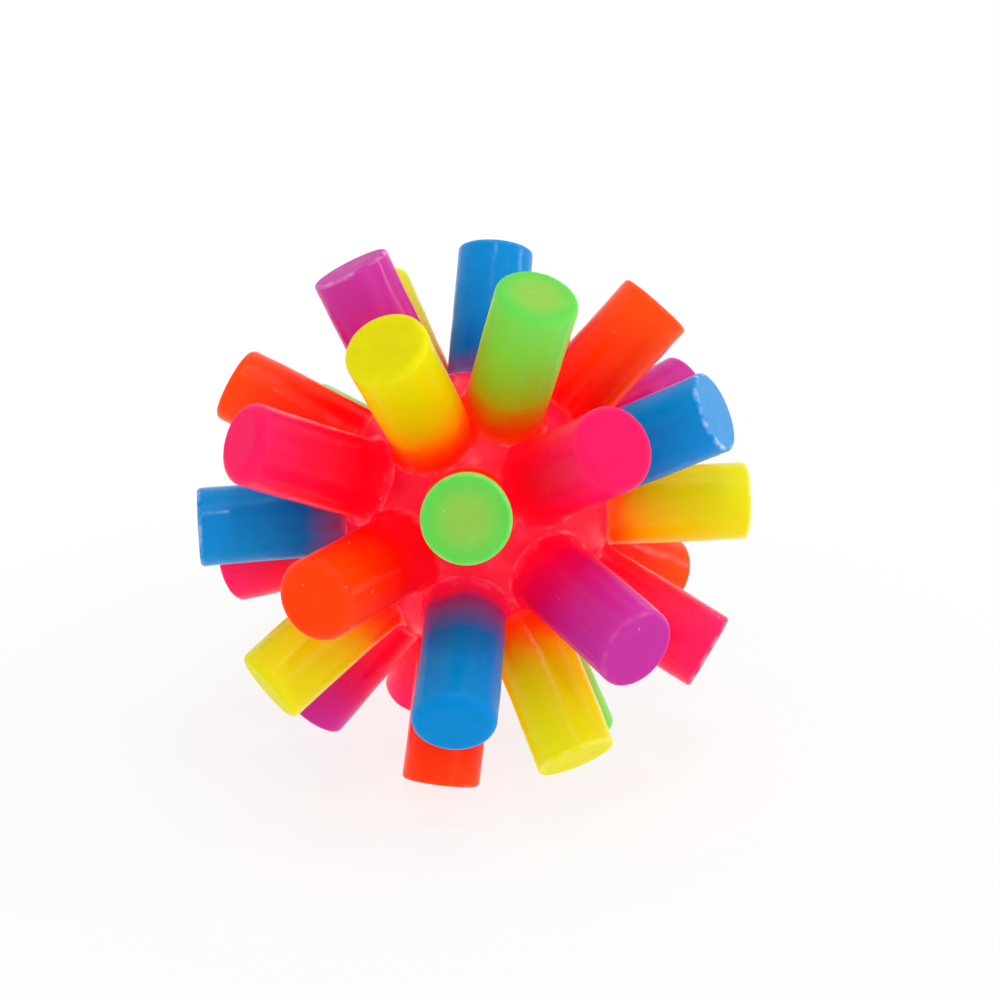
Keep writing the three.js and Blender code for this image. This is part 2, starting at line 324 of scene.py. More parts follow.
def fingerRubber(colourName):
    material, tree, shader = newMaterial("mouldedRubber_" + colourName)
    place = addNode(tree, "ShaderNodeTexCoord").outputs["Object"]
    marks = {name: addNode(tree, "ShaderNodeAttribute", attribute_name=name).outputs["Fac"]
             for name in ("along", "edge", "endFace", "centre", "root", "ragged")}
    # the fade is uneven: a slow shift from finger to finger, and a ragged front
    level = marks["along"]
    for size, amount in (("fadePatch", "fadePatchAmount"), ("fadeEdge", "fadeEdgeAmount")):
        noise = addNode(tree, "ShaderNodeTexNoise",
                        {"Vector": place, "Scale": 1 / rubber[size], "Detail": 1.0})
        shift = addNode(tree, "ShaderNodeMapRange", {
            "Value": noise, "To Min": -rubber[amount], "To Max": rubber[amount]})
        level = addNode(tree, "ShaderNodeMath", {0: level, 1: shift}, operation="ADD")
    ramp = addNode(tree, "ShaderNodeValToRGB", {"Fac": level}, fingerColours[colourName])
    local = addNode(tree, "ShaderNodeAttribute", attribute_name="local").outputs["Vector"]
    drawn = addNode(tree, "ShaderNodeMapping",
                    {"Vector": local, "Scale": (1, 1, rubber["streakStretch"])})
    flow = addNode(tree, "ShaderNodeTexNoise",
                   {"Vector": drawn, "Scale": 1 / rubber["streak"], "Detail": 3.0})
    streak = addNode(tree, "ShaderNodeMapRange",
                     {"Value": flow, "From Min": rubber["streakRange"][0],
                      "From Max": rubber["streakRange"][1], "To Max": rubber["streakShade"]})
    # an end is painted a little darker as painted shade, mottled, with a warm middle
    mottle = addNode(tree, "ShaderNodeTexNoise",
                     {"Vector": place, "Scale": 1 / rubber["mottle"], "Detail": 3.0})
    least, most = [share * rubber["paintedEndShade"] for share in rubber["mottleShades"]]
    endShadeAmount = addNode(tree, "ShaderNodeMapRange",
                   {"Value": mottle, "From Min": noiseLow, "From Max": noiseHigh,
                    "To Min": least, "To Max": most})
    endShadeMask = addNode(tree, "ShaderNodeMath", {0: endShadeAmount, 1: marks["endFace"]},
                      operation="MULTIPLY")
    middle = addNode(tree, "ShaderNodeMapRange",
                     {"Value": marks["centre"], "From Min": rubber["middleRange"][0],
                      "From Max": rubber["middleRange"][1]}, interpolation_type="SMOOTHSTEP")
    # painted refraction: a deeper-coloured ring round the warm middle of a green end
    ring = addNode(tree, "ShaderNodeMath", {0: marks["endFace"], 1: middle},
                   operation="SUBTRACT")
    refractionRingShare = addNode(tree, "ShaderNodeMath",
                        {0: ring, 1: rubber["refractionRingShare"] if colourName in endRefractionRings else 0.0},
                        operation="MULTIPLY")
    warmth = addNode(tree, "ShaderNodeMath", {0: middle, 1: endWarmth.get(colourName, 0.0)},
                     operation="MULTIPLY")
    # pale moulding flash, partly a painted sheen, breaks up round the end, and the most ragged ends are painted
    # pale all over as a painted reflection
    broken = addNode(tree, "ShaderNodeTexNoise",
                     {"Vector": place, "Scale": 1 / rubber["flashGrain"], "Detail": 2.0})
    patchy = addNode(tree, "ShaderNodeMapRange",
                     {"Value": broken, "From Min": rubber["flashRange"][0],
                      "From Max": rubber["flashRange"][1]})
    # pale rim: partly the moulding flash, partly a painted sheen
    flash = addNode(tree, "ShaderNodeMath", {0: marks["edge"], 1: patchy}, operation="MULTIPLY")
    flashAndRimSheen = addNode(tree, "ShaderNodeMath", {0: flash, 1: marks["ragged"]},
                       operation="MULTIPLY")
    # painted reflection: pale paint over the faces of the most ragged ends
    paleEndReflection = addNode(tree, "ShaderNodeMath", {0: marks["ragged"], 1: marks["endFace"]},
                    operation="MULTIPLY")
    paleEndReflectionShare = addNode(tree, "ShaderNodeMapRange",
                         {"Value": paleEndReflection, "From Min": rubber["paleEndReflectionFrom"],
                          "To Max": rubber["paleEndReflection"]})
    # painted highlight along the root crease, broken up
    rootHighlight = addNode(tree, "ShaderNodeMath", {0: marks["root"], 1: patchy}, operation="MULTIPLY")
    # dust that clings to the soft skin
    dust = addNode(tree, "ShaderNodeTexVoronoi",
                   {"Vector": place, "Scale": 1 / rubber["dustSpacing"]})
    speck = addNode(tree, "ShaderNodeMapRange",
                    {"Value": dust.outputs["Distance"], "From Min": rubber["dustSize"],
                     "From Max": 0.0, "To Max": rubber["dustShare"]})
    warm, pale, root = [linear(rubber[name])
                        for name in ("warmColour", "flashSheenAndDustColour", "rootHighlightColour")]
    rim = linear(endRefractionRings[colourName]) if colourName in endRefractionRings else warm
    colour = ramp.outputs["Color"]
    for share, over in ((streak, black), (endShadeMask, black), (refractionRingShare, rim), (warmth, warm),
                        (flashAndRimSheen, pale), (paleEndReflectionShare, pale), (rootHighlight, root), (speck, pale)):
        mixed = addNode(tree, "ShaderNodeMix", {0: share, 6: colour, 7: over}, data_type="RGBA")
        colour = mixed.outputs[2]
    rough = addNode(tree, "ShaderNodeMath", {0: marks["endFace"], 1: marks["edge"]},
                    operation="MAXIMUM")
    dull = addNode(tree, "ShaderNodeMapRange",
                   {"Value": rough, "To Min": rubber["roughness"],
                    "To Max": rubber["endRoughness"]})
    rubberSkin(tree, shader, colour, dull)
    shine = addNode(tree, "ShaderNodeMapRange",
                    {"Value": marks["endFace"], "To Min": rubber["shine"],
                     "To Max": rubber["endShine"]})
    tree.links.new(shine.outputs[0], shader.inputs["Specular IOR Level"])
    return material


def coreRubber():
    material, tree, shader = newMaterial("mouldedRubber_core")
    place = addNode(tree, "ShaderNodeTexCoord").outputs["Object"]
    cloud = addNode(tree, "ShaderNodeTexNoise",
                    {"Vector": place, "Scale": 1 / rubber["cloud"], "Detail": 3.0})
    ramp = addNode(tree, "ShaderNodeValToRGB", {"Fac": cloud}, coreColours)
    dull = addNode(tree, "ShaderNodeMapRange",
                   {"Value": cloud, "To Min": rubber["roughness"] + rubber["cloudGloss"][0],
                    "To Max": rubber["roughness"] + rubber["cloudGloss"][1]})
    rubberSkin(tree, shader, ramp.outputs["Color"], dull)
    return material


# Fingers: one profile, swept round, stands at each joint
finger = {
    "radius": 5.3 * mm,
    "ballRadius": 37.5 * mm,
    "coreRadius": 19.0 * mm,
    "bendHeight": 2.8 * mm,
    "rootFillet": 1.3 * mm,
    "endRound": 0.45 * mm,
    "skirtDepth": 0.9 * mm,   # how far the root is sunk into the core
    "edgeWidth": 0.55 * mm,
    "rootHighlightWidth": 0.5 * mm,
    "lumps": 0.12 * mm,
    "lumpSize": 6 * mm,
    "bow": 0.4 * mm,          # soft fingers are never quite straight
    "flash": 0.16 * mm,
    "flashGrain": 1.3 * mm,
    "flashRange": (0.42, 0.7),
    "seedStep": 2.4,
    "filletSteps": 10,
    "rows": 130,
    "sides": 64,
    "sealDistance": 0.002 * mm,
}
# how ragged each end is: the height of its flash lip, its pale rim, which is partly painted sheen, and on the most
# ragged a painted pale reflection over the face
raggedEnds = {"finger_08_blue": 1.0, "finger_20_purple": 0.45, "finger_18_blue": 0.6,
              "finger_01_purple": 0.5, "finger_25_pink": 0.45, "finger_28_yellow": 0.4}
plainEnd = 0.14
# ends that came out of the mould with a soft edge
softEnds = {"finger_17_orange": 2.2 * mm, "finger_24_blue": 1.5 * mm, "finger_11_pink": 1.8 * mm,
            "finger_09_pink": 1.5 * mm, "finger_20_purple": 0.8 * mm, "finger_05_yellow": 1.0 * mm,
            "finger_03_green": 0.9 * mm, "finger_26_yellow": 1.0 * mm,
            "finger_10_orange": 1.0 * mm}
# a finger that leans to its left: how far, and which way
bows = {"finger_24_blue": (0.45 * mm, math.pi)}
# on some fingers the red stops lower down than on the rest, and on some higher up; on finger_30_purple the shift
# also paints shade, redder and darker
fadeShifts = {"finger_02_blue": 0.22, "finger_16_yellow": 0.16, "finger_18_blue": 0.1,
              "finger_28_yellow": 0.08, "finger_03_green": 0.03, "finger_05_yellow": 0.03,
              "finger_04_orange": 0.12, "finger_17_orange": -0.14, "finger_32_orange": -0.18,
              "finger_30_purple": -0.22}


def fingerTree():
    tree, size = newTree("rubberFinger", {
        "Float": ["Core Radius", "Ball Radius", "Finger Radius", "Root Fillet", "End Round",
                  "Skirt Depth", "Touch Reach", "Touch Height", "Corner Height", "Edge Width",
                  "Lump Height", "Flash Height", "Ragged", "Fade Shift", "Bow", "Bow Turn", "Seed"],
        "Int": ["Rows", "Sides"], "Rotation": ["Lean"], "Material": ["Material"]})
    radius, end = size["Finger Radius"], size["Ball Radius"]
    # profile of six points from the sunk root over the fillet and the side to the middle of the end
    sunk = addNode(tree, "ShaderNodeMath", {0: size["Touch Height"], 1: size["Skirt Depth"]},
                   operation="SUBTRACT")
    spots = [(0.0, sunk), (size["Touch Reach"], sunk), (size["Touch Reach"], size["Touch Height"]),
             (radius, size["Corner Height"]), (radius, end), (0.0, end)]
    index = addNode(tree, "GeometryNodeInputIndex")
    places = addNode(tree, "GeometryNodeIndexSwitch", data_type="VECTOR")
    rounds = addNode(tree, "GeometryNodeIndexSwitch", data_type="FLOAT")
    for switch in (places, rounds):
        while len(switch.index_switch_items) < len(spots):
            switch.index_switch_items.new()
        tree.links.new(index.outputs[0], switch.inputs[0])
    for spot, (out, up) in enumerate(spots):
        point = addNode(tree, "ShaderNodeCombineXYZ", {"X": out, "Z": up})
        tree.links.new(point.outputs[0], places.inputs[spot + 1])
    tree.links.new(size["Root Fillet"], rounds.inputs[4])
    tree.links.new(size["End Round"], rounds.inputs[5])
    line = addNode(tree, "GeometryNodeCurvePrimitiveLine")
    counted = addNode(tree, "GeometryNodeResampleCurve", {"Curve": line, "Count": len(spots)})
    bent = addNode(tree, "GeometryNodeSetPosition", {"Geometry": counted, "Position": places})
    profile = addNode(tree, "GeometryNodeFilletCurve",
                      {"Curve": bent, "Count": finger["filletSteps"], "Radius": rounds,
                       "Limit Radius": True},
                      mode="POLY")
    # a flat grid becomes the swept skin: one way along the profile, the other round the axis
    columns = addNode(tree, "ShaderNodeMath", {0: size["Sides"], 1: 1.0}, operation="ADD")
    grid = addNode(tree, "GeometryNodeMeshGrid", {"Size X": 1.0, "Size Y": 2 * math.pi,
                                                  "Vertices X": size["Rows"],
                                                  "Vertices Y": columns})
    flat = addNode(tree, "ShaderNodeSeparateXYZ",
                   {"Vector": addNode(tree, "GeometryNodeInputPosition")})
    share = addNode(tree, "ShaderNodeMath", {0: flat.outputs["X"], 1: 0.5}, operation="ADD")
    sample = addNode(tree, "GeometryNodeSampleCurve", {"Curves": profile, "Factor": share},
                     mode="FACTOR", use_all_curves=True)
    at = addNode(tree, "ShaderNodeSeparateXYZ", {"Vector": sample.outputs["Position"]})
    out, up = at.outputs["X"], at.outputs["Z"]
    arm = addNode(tree, "ShaderNodeCombineXYZ", {"X": out, "Z": up})
    around = addNode(tree, "ShaderNodeVectorRotate",
                     {"Vector": arm, "Axis": (0, 0, 1), "Angle": flat.outputs["Y"]})
    # what the rubber's colour needs to know about a point, kept before the grid is bent
    along = addNode(tree, "ShaderNodeMapRange",
                    {"Value": up, "From Min": size["Core Radius"], "From Max": end}, clamp=False)
    drop = addNode(tree, "ShaderNodeMath", {0: end, 1: up}, operation="SUBTRACT")
    inset = addNode(tree, "ShaderNodeMath", {0: radius, 1: out}, operation="SUBTRACT")
    fromEdge = addNode(tree, "ShaderNodeMath", {0: drop, 1: inset}, operation="ADD")
    lipEdge = addNode(tree, "ShaderNodeMapRange",
                      {"Value": fromEdge, "From Min": 0.0, "From Max": size["End Round"],
                       "To Min": 1.0, "To Max": 0.0}, interpolation_type="SMOOTHSTEP")
    edge = addNode(tree, "ShaderNodeMapRange",
                   {"Value": fromEdge, "From Min": 0.0, "From Max": size["Edge Width"],
                    "To Min": 1.0, "To Max": 0.0})
    endFace = addNode(tree, "ShaderNodeMapRange",
                      {"Value": drop, "From Min": 0.0, "From Max": size["End Round"],
                       "To Min": 1.0, "To Max": 0.0})
    # the band at the root crease that takes the painted highlight
    rootHighlightInside = addNode(tree, "ShaderNodeMath",
                           {0: size["Touch Reach"], 1: finger["rootHighlightWidth"]},
                           operation="SUBTRACT")
    root = addNode(tree, "ShaderNodeMapRange", {"Value": out, "From Min": rootHighlightInside,
                                                "From Max": size["Touch Reach"]})
    inwards = addNode(tree, "ShaderNodeMapRange", {"Value": out, "From Min": radius,
                                                   "From Max": 0.0})
    centre = addNode(tree, "ShaderNodeMath", {0: inwards, 1: endFace}, operation="MULTIPLY")
    fade = addNode(tree, "ShaderNodeMath", {0: along, 1: size["Fade Shift"]}, operation="ADD")
    marked = addNode(tree, "GeometryNodeStoreNamedAttribute",
                     {"Geometry": grid, "Name": "local", "Value": around},
                     data_type="FLOAT_VECTOR", domain="POINT")
    for name, value in (("along", fade), ("edge", edge), ("endFace", endFace),
                        ("centre", centre), ("root", root), ("ragged", size["Ragged"])):
        marked = addNode(tree, "GeometryNodeStoreNamedAttribute",
                         {"Geometry": marked, "Name": name, "Value": value},
                         data_type="FLOAT", domain="POINT")
    # soft lumps all over, a ragged lip of flash at the end and a slight bow along the length
    lumps = addNode(tree, "ShaderNodeTexNoise",
                    {"Vector": around, "W": size["Seed"], "Scale": 1 / finger["lumpSize"],
                     "Detail": 1.0},
                    noise_dimensions="4D")
    swell = addNode(tree, "ShaderNodeMapRange", {"Value": lumps, "To Min": -1.0, "To Max": 1.0})
    lumpPush = addNode(tree, "ShaderNodeMath", {0: swell, 1: size["Lump Height"]},
                       operation="MULTIPLY")
    lip = addNode(tree, "ShaderNodeTexNoise",
                  {"Vector": around, "W": size["Seed"], "Scale": 1 / finger["flashGrain"],
                   "Detail": 2.0},
                  noise_dimensions="4D")
    torn = addNode(tree, "ShaderNodeMapRange",
                   {"Value": lip, "From Min": finger["flashRange"][0],
                    "From Max": finger["flashRange"][1]})
    lipShare = addNode(tree, "ShaderNodeMath", {0: torn, 1: lipEdge}, operation="MULTIPLY")
    lipPush = addNode(tree, "ShaderNodeMath", {0: lipShare, 1: size["Flash Height"]},
                      operation="MULTIPLY")
    push = addNode(tree, "ShaderNodeMath", {0: lumpPush, 1: lipPush}, operation="ADD")
    sideways = addNode(tree, "ShaderNodeVectorMath", {0: around, 1: (1, 1, 0)},
                       operation="MULTIPLY")
    outwards = addNode(tree, "ShaderNodeVectorMath", {0: sideways}, operation="NORMALIZE")
    bulge = addNode(tree, "ShaderNodeVectorMath", {0: outwards, "Scale": push}, operation="SCALE")
    rise = addNode(tree, "ShaderNodeMath", {0: along, 1: along}, operation="MULTIPLY")
    bowReach = addNode(tree, "ShaderNodeMath", {0: rise, 1: size["Bow"]}, operation="MULTIPLY")
    bowArm = addNode(tree, "ShaderNodeCombineXYZ", {"X": bowReach})
    bow = addNode(tree, "ShaderNodeVectorRotate",
                  {"Vector": bowArm, "Axis": (0, 0, 1), "Angle": size["Bow Turn"]})
    moved = addNode(tree, "ShaderNodeVectorMath", {0: around, 1: bulge}, operation="ADD")
    bowed = addNode(tree, "ShaderNodeVectorMath", {0: moved, 1: bow}, operation="ADD")
    shaped = addNode(tree, "GeometryNodeSetPosition", {"Geometry": marked, "Position": bowed})
    sealed = addNode(tree, "GeometryNodeMergeByDistance",
                     {"Geometry": shaped, "Distance": finger["sealDistance"]})
    outside = addNode(tree, "GeometryNodeFlipFaces", {"Mesh": sealed})
    leaned = addNode(tree, "GeometryNodeTransform",
                     {"Geometry": outside, "Rotation": size["Lean"]})
    return closeTree(tree, leaned, size)


def makeFingers():
    tree = fingerTree()
    skins = {name: fingerRubber(name) for name in fingerColours}
    core, fillet = finger["coreRadius"], finger["rootFillet"]
    # the fillet touches the round core at this distance from the finger's axis, and this height
    wide = finger["radius"] + fillet
    shrink = core / (core + fillet)
    touchReach = wide * shrink
    touchHeight = math.sqrt((core + fillet) ** 2 - wide ** 2) * shrink
    cornerHeight = touchHeight + (touchReach - finger["radius"]) * touchReach / touchHeight
    count = 0
    for body, joint in joints.items():
        node = record["behaviour"]["bodies"][body][0]
        if not node.startswith("finger_"):
            continue
        along = Vector(joint["pos_m"]).normalized()
        number, colourName = node.split("_")[1:]
        ragged = raggedEnds.get(node, plainEnd)
        seed = finger["seedStep"] * float(number)
        bow, turn = bows.get(node, (finger["bow"], seed))
        values = {
            "Core Radius": core, "Ball Radius": finger["ballRadius"],
            "Finger Radius": finger["radius"], "Root Fillet": fillet,
            "End Round": softEnds.get(node, finger["endRound"]),
            "Skirt Depth": finger["skirtDepth"],
            "Touch Reach": touchReach, "Touch Height": touchHeight,
            "Corner Height": cornerHeight, "Edge Width": finger["edgeWidth"],
            "Lump Height": finger["lumps"], "Flash Height": finger["flash"] * ragged,
            "Ragged": ragged, "Fade Shift": fadeShifts.get(node, 0.0),
            "Bow": bow, "Bow Turn": turn, "Seed": seed,
            "Rows": finger["rows"], "Sides": finger["sides"],
            "Lean": along.to_track_quat("Z", "Y").to_euler(), "Material": skins[colourName],
        }
        piece = pieceFromTree(node + "_rubber", tree, values)
        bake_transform(piece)
        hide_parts(node)
        count += 1
    print("fingers made:", count)


# Core: the red ball that the fingers grow from, with the pocket for the light capsule and the hole
# that the capsule goes in by, closed by the loading plug
core = {"pocketGap": 0.3 * mm, "lumps": 0.1 * mm, "lumpSize": 6 * mm, "plugFinger": "finger_22",
        "plugRadius": 5.4 * mm, "plugGap": 0.15 * mm, "plugRound": 0.4 * mm, "plugRows": 10,
        "skinLevel": 6, "pocketLevel": 5, "holeSides": 64}


def coreTree():
    tree, size = newTree("rubberCore", {
        "Float": ["Radius", "Pocket Radius", "Lumps", "Lump Size", "Hole Radius"],
        "Rotation": ["Hole Lean"], "Vector": ["Hole Place"], "Material": ["Material"]})
    ball = addNode(tree, "GeometryNodeMeshIcoSphere", {"Radius": size["Radius"],
                                                       "Subdivisions": core["skinLevel"]})
    closeness = addNode(tree, "ShaderNodeMath", {0: 1.0, 1: size["Lump Size"]},
                        operation="DIVIDE")
    noise = addNode(tree, "ShaderNodeTexNoise", {"Scale": closeness, "Detail": 2.0})
    swell = addNode(tree, "ShaderNodeMapRange", {"Value": noise, "To Min": -0.5, "To Max": 0.5})
    height = addNode(tree, "ShaderNodeMath", {0: swell, 1: size["Lumps"]}, operation="MULTIPLY")
    push = addNode(tree, "ShaderNodeVectorMath",
                   {0: addNode(tree, "GeometryNodeInputNormal"), "Scale": height},
                   operation="SCALE")
    lumpy = addNode(tree, "GeometryNodeSetPosition", {"Geometry": ball, "Offset": push})
    pocket = addNode(tree, "GeometryNodeMeshIcoSphere", {"Radius": size["Pocket Radius"],
                                                         "Subdivisions": core["pocketLevel"]})
    hole = addNode(tree, "GeometryNodeMeshCylinder",
                   {"Vertices": core["holeSides"], "Radius": size["Hole Radius"],
                    "Depth": size["Radius"]})
    placed = addNode(tree, "GeometryNodeTransform",
                     {"Geometry": hole.outputs["Mesh"], "Translation": size["Hole Place"],
                      "Rotation": size["Hole Lean"]})
    cuts = addNode(tree, "GeometryNodeMeshBoolean", {"Mesh 1": lumpy}, operation="DIFFERENCE",
                   solver="EXACT")
    for cut in (placed, pocket):
        tree.links.new(cut.outputs[0], cuts.inputs["Mesh 2"])
    return closeTree(tree, cuts, size)


def makeCore():
    skin = coreRubber()
    low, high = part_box("capsule_lower")
    along = Vector(joints[core["plugFinger"]]["pos_m"]).normalized()
    lean = along.to_track_quat("Z", "Y")
    radius = finger["coreRadius"]
    pocketRadius = -low[2] + core["pocketGap"]
    values = {"Radius": radius, "Pocket Radius": pocketRadius, "Lumps": core["lumps"],
              "Lump Size": core["lumpSize"], "Hole Radius": core["plugRadius"] + core["plugGap"],
              "Hole Lean": lean.to_euler(), "Hole Place": along * radius, "Material": skin}
    standsFor(pieceFromTree("core_rubber", coreTree(), values), "core_shell")

    reach = core["plugRadius"]
    foot = pocketRadius + core["plugGap"]
    rim = math.degrees(math.acos(reach / radius))
    plug = turnedPiece("loading_plug_rubber",
                       [(0, foot), (reach, foot)] + arcPoints(radius, rim, 90, core["plugRows"]),
                       skin,
                       rounds={1: core["plugRound"]}, lean=lean)
    standsFor(plug, "loading_plug")
    print("core made")


# Finishes inside the capsule: what each is, and how it was made
finishBump = 0.4
finestPits = 0.01 * mm
plainStops = (0.35, 0.65)
trackBend = 5.0
trackRate = 0.3  # scale of the ring texture for tracks of unit spacing
innerFinishes = {
    # clear and hard, with faint flow marks from the gate
    "clear_capsule": {"name": "mouldedPolystyrene_clear", "colours": ("#e4edf2", "#f4f8fa"),
                      "patch": 6 * mm, "roughness": (0.04, 0.1), "ior": 1.59, "through": 0.92},
    # green lacquer over copper that shows paler where a track runs under it
    "circuit_board": {"name": "solderResist_green", "colours": ("#17592f", "#2a7a44"),
                      "stops": (0.74, 0.84), "patch": 0.9 * mm, "roughness": (0.28, 0.4),
                      "ior": 1.52, "tracks": 1.6 * mm},
    # tinted and see-through, like hard candy
    "led_red": {"name": "castEpoxy_red", "colours": ("#c80c14", "#e8202a"), "patch": 2 * mm,
                "roughness": (0.05, 0.1), "ior": 1.55, "through": 0.5},
    "led_green": {"name": "castEpoxy_green", "colours": ("#0c9a30", "#22c04a"), "patch": 2 * mm,
                  "roughness": (0.05, 0.1), "ior": 1.55, "through": 0.5},
    "led_blue": {"name": "castEpoxy_blue", "colours": ("#1434c8", "#2c50ea"), "patch": 2 * mm,
                 "roughness": (0.05, 0.1), "ior": 1.55, "through": 0.5},
    # a poured black drop, glossy on top and pitted by small bubbles
    "epoxy_black": {"name": "pottingEpoxy_black", "colours": ("#0c0c0e", "#1c1c1f"),
                    "patch": 0.7 * mm, "roughness": (0.2, 0.45), "ior": 1.55, "pits": 0.05 * mm},
    # drawn cans under dull nickel, scuffed by handling
    "cell_steel": {"name": "nickelPlate_drawn", "colours": ("#b4b8bc", "#d8dadc"),
                   "patch": 0.5 * mm, "roughness": (0.22, 0.42), "metal": True},
    # off-white, slightly waxy
    "sleeve_white": {"name": "mouldedNylon_white", "colours": ("#dedbd0", "#eeece4"),
                     "patch": 1.5 * mm, "roughness": (0.38, 0.5), "ior": 1.53, "pits": 0.02 * mm},
    # warm stamped strip that has started to tarnish in patches
    "contact_brass": {"name": "stampedBrass", "colours": ("#a8842e", "#d8b85c"),
                      "patch": 1.2 * mm, "roughness": (0.2, 0.45), "metal": True},
    # bright wire with the fine lines of the drawing die
    "spring_steel": {"name": "springWire_drawn", "colours": ("#b8bcc2", "#e2e4e6"),
                     "patch": 0.3 * mm, "roughness": (0.16, 0.3), "metal": True},
}


def innerFinish(slot):
    look = innerFinishes[slot]
    material, tree, shader = newMaterial(look["name"])
    place = addNode(tree, "ShaderNodeTexCoord").outputs["Object"]
    noise = addNode(tree, "ShaderNodeTexNoise",
                    {"Vector": place, "Scale": 1 / look["patch"], "Detail": 4.0})
    pattern = noise
    if "tracks" in look:
        pattern = addNode(tree, "ShaderNodeTexWave",
                          {"Vector": place, "Scale": trackRate / look["tracks"],
                           "Distortion": trackBend, "Detail": 0.0},
                          wave_type="RINGS", rings_direction="Z")
    ramp = addNode(tree, "ShaderNodeValToRGB", {"Fac": pattern.outputs["Fac"]},
                   list(zip(look.get("stops", plainStops), look["colours"])))
    gloss = addNode(tree, "ShaderNodeMapRange",
                    {"Value": noise, "From Min": noiseLow, "From Max": noiseHigh,
                     "To Min": look["roughness"][0], "To Max": look["roughness"][1]})
    bump = addNode(tree, "ShaderNodeBump",
                   {"Height": noise, "Strength": finishBump,
                    "Distance": look.get("pits", finestPits)})
    for socket, source in {"Base Color": ramp, "Roughness": gloss, "Normal": bump}.items():
        tree.links.new(source.outputs[0], shader.inputs[socket])
    shader.inputs["Metallic"].default_value = 1.0 if look.get("metal") else 0.0
    shader.inputs["IOR"].default_value = look.get("ior", 1.5)
    shader.inputs["Transmission Weight"].default_value = look.get("through", 0.0)
    return material


# Light capsule: two clear shells, the board with its lights, the cells and the shake switch
capsule = {"wall": 1.0 * mm, "rows": 24, "seatGap": 0.1 * mm, "round": 0.1 * mm,
           "flangeHeight": 0.6 * mm, "flange": 0.4 * mm, "capHeight": 0.5 * mm,
           "capRadius": 3.1 * mm, "cellRound": 0.35 * mm, "gasket": 0.3 * mm,
           "gasketDepth": 0.12 * mm, "sleeveWall": 0.45 * mm, "collarBore": 0.7 * mm,
           "coilTurns": 5, "coilRadius": 1.1 * mm, "coilWire": 0.2 * mm, "coilSteps": 40,
           "wireSides": 12, "lensRows": 12, "chipRows": 10}


def coilTree():
    tree, size = newTree("coiledWire", {"Float": ["Turns", "Coil Radius", "Wire Radius", "Height"],
                                        "Vector": ["Place"], "Material": ["Material"]})
    coil = addNode(tree, "GeometryNodeCurveSpiral",
                   {"Resolution": capsule["coilSteps"], "Rotations": size["Turns"],
                    "Start Radius": size["Coil Radius"], "End Radius": size["Coil Radius"],
                    "Height": size["Height"]})
    wire = addNode(tree, "GeometryNodeCurvePrimitiveCircle",
                   {"Resolution": capsule["wireSides"], "Radius": size["Wire Radius"]})
    swept = addNode(tree, "GeometryNodeCurveToMesh",
                    {"Curve": coil, "Profile Curve": wire, "Fill Caps": True})
    placed = addNode(tree, "GeometryNodeTransform",
                     {"Geometry": swept, "Translation": size["Place"]})
    return closeTree(tree, placed, size)


